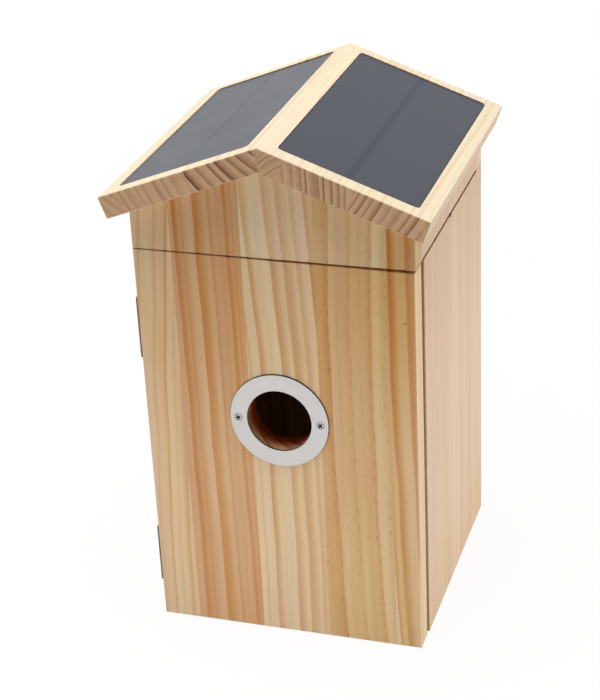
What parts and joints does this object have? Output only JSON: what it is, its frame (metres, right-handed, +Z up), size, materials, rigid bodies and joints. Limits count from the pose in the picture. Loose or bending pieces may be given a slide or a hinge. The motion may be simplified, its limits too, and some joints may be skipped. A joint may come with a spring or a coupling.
{
  "type": "camera nest box",
  "caption": "Pine nest box for small birds with a hinged front door, a round entrance hole in a steel plate, a gable roof holding solar panels, and a camera under the lid",
  "frame": {"origin": "on the ground under the middle of the roof's outline", "axes": "+Z up, +Y towards the rear wall, +X to the right seen from the front; the door faces -Y"},
  "size_m": [0.1838, 0.182, 0.3099],
  "materials": {
    "pine": "sanded, clear",
    "roof_pine": "sanded, clear",
    "panel_backing": "satin",
    "solar_cell": "satin",
    "camera_plastic": "matte",
    "camera_glass": "polished",
    "plate_steel": "brushed",
    "hinge_steel": "satin"
  },
  "bodies": {
    "box": {"floor_board": "pine", "rear_wall": "pine", "left_wall": "pine", "right_wall": "pine", "front_gable": "pine", "rear_gable": "pine", "left_lid_rail": "pine", "right_lid_rail": "pine", "ceiling_board": "pine", "left_roof_board": "roof_pine", "right_roof_board": "roof_pine", "left_panel_board": "panel_backing", "right_panel_board": "panel_backing", "left_panel_cells": "solar_cell", "right_panel_cells": "solar_cell", "camera_housing": "camera_plastic", "camera_lens": "camera_glass", "upper_hinge_wall_leaf": "hinge_steel", "lower_hinge_wall_leaf": "hinge_steel", "upper_hinge_pin": "hinge_steel", "lower_hinge_pin": "hinge_steel"},
    "door": {"front_door": "pine", "entrance_plate": "plate_steel", "upper_hinge_door_leaf": "hinge_steel", "lower_hinge_door_leaf": "hinge_steel"}
  },
  "joints": [
    {"name": "door_swing", "type": "hinge", "parent": "box", "child": "door", "pos_m": [-0.0822, -0.06145, 0.1176], "axis": [0, 0, -1], "range_deg": [0, 180]}
  ]
}
